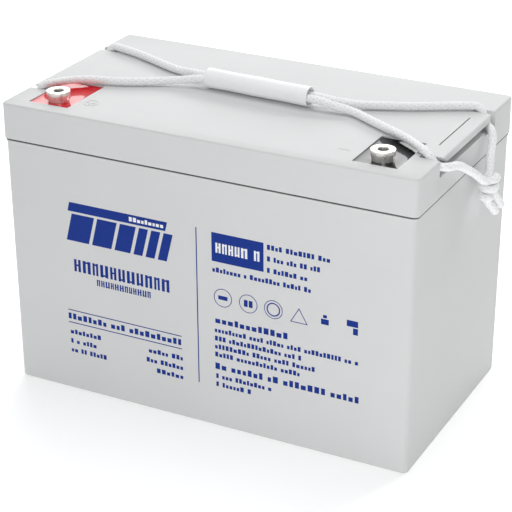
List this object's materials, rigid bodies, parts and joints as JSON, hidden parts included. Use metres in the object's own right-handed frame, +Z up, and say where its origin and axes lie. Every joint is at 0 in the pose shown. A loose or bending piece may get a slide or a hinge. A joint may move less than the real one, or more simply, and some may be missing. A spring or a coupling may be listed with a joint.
{
  "type": "deep cycle battery",
  "caption": "Sealed rectangular leisure battery with bolt terminals in coloured resin pads, cells and valves inside, and a rope carrying handle with a sliding grip",
  "frame": {"origin": "centre of the case's foot, at floor level", "axes": "+X along the case, away from the positive terminal; +Y away from the label face; +Z up"},
  "size_m": [0.3309, 0.169, 0.2251],
  "materials": {
    "case_plastic": "fine satin moulded ABS",
    "cover_plastic": "satin moulded ABS",
    "grip_plastic": "smooth satin tube",
    "rope_fibre": "braided polypropylene",
    "red_resin": "poured glossy resin",
    "black_resin": "poured glossy resin",
    "plated_metal": "tin-plated brass, satin",
    "valve_rubber": "matt",
    "seal_rubber": "matt",
    "positive_paste": "dark brown lead dioxide, matt",
    "negative_paste": "grey sponge lead, matt",
    "separator_sheet": "ribbed microporous sheet",
    "weld_lead": "dull lead"
  },
  "bodies": {
    "case": {"cell_weld_1": "weld_lead", "cell_weld_2": "weld_lead", "cell_weld_3": "weld_lead", "cell_weld_4": "weld_lead", "cell_weld_5": "weld_lead", "container": "case_plastic", "inner_cover": "cover_plastic", "lid": "case_plastic", "negative_plates_1": "negative_paste", "negative_plates_2": "negative_paste", "negative_plates_3": "negative_paste", "negative_plates_4": "negative_paste", "negative_plates_5": "negative_paste", "negative_plates_6": "negative_paste", "negative_resin": "black_resin", "negative_seal": "seal_rubber", "negative_terminal": "plated_metal", "positive_plates_1": "positive_paste", "positive_plates_2": "positive_paste", "positive_plates_3": "positive_paste", "positive_plates_4": "positive_paste", "positive_plates_5": "positive_paste", "positive_plates_6": "positive_paste", "positive_resin": "red_resin", "positive_seal": "seal_rubber", "positive_terminal": "plated_metal", "rope_end_back": "rope_fibre", "rope_end_front": "rope_fibre", "rope_left": "rope_fibre", "rope_right_back": "rope_fibre", "rope_right_front": "rope_fibre", "separator_1": "separator_sheet", "separator_2": "separator_sheet", "separator_3": "separator_sheet", "separator_4": "separator_sheet", "separator_5": "separator_sheet", "separator_6": "separator_sheet"},
    "handle": {"grip": "grip_plastic", "rope_in_grip_front": "rope_fibre", "rope_in_grip_back": "rope_fibre"},
    "rope_end": {"rope_knot": "rope_fibre", "rope_tail_front": "rope_fibre", "rope_tail_back": "rope_fibre"},
    "valve_1": {"valve_cap_1": "valve_rubber"},
    "valve_2": {"valve_cap_2": "valve_rubber"},
    "valve_3": {"valve_cap_3": "valve_rubber"},
    "valve_4": {"valve_cap_4": "valve_rubber"},
    "valve_5": {"valve_cap_5": "valve_rubber"},
    "valve_6": {"valve_cap_6": "valve_rubber"}
  },
  "joints": [
    {"name": "handle_lift", "type": "slide", "parent": "case", "child": "handle", "axis": [0, 0, 1], "range_m": [0, 0.05], "deforming": ["rope_left", "rope_right_front", "rope_right_back"]},
    {"name": "rope_end_rise", "type": "slide", "parent": "case", "child": "rope_end", "axis": [0, 0, 1], "range_m": [0, 0.01], "deforming": ["rope_end_front", "rope_end_back"]},
    {"name": "valve_lift_1", "type": "slide", "parent": "case", "child": "valve_1", "axis": [0, 0, 1], "range_m": [0, 0.0008], "stiffness_N_per_m": 200, "springref_m": -0.003},
    {"name": "valve_lift_2", "type": "slide", "parent": "case", "child": "valve_2", "axis": [0, 0, 1], "range_m": [0, 0.0008], "stiffness_N_per_m": 200, "springref_m": -0.003},
    {"name": "valve_lift_3", "type": "slide", "parent": "case", "child": "valve_3", "axis": [0, 0, 1], "range_m": [0, 0.0008], "stiffness_N_per_m": 200, "springref_m": -0.003},
    {"name": "valve_lift_4", "type": "slide", "parent": "case", "child": "valve_4", "axis": [0, 0, 1], "range_m": [0, 0.0008], "stiffness_N_per_m": 200, "springref_m": -0.003},
    {"name": "valve_lift_5", "type": "slide", "parent": "case", "child": "valve_5", "axis": [0, 0, 1], "range_m": [0, 0.0008], "stiffness_N_per_m": 200, "springref_m": -0.003},
    {"name": "valve_lift_6", "type": "slide", "parent": "case", "child": "valve_6", "axis": [0, 0, 1], "range_m": [0, 0.0008], "stiffness_N_per_m": 200, "springref_m": -0.003}
  ],
  "couplings": [
    {"joint": "rope_end_rise", "follows": "handle_lift", "ratio": 0.2}
  ]
}
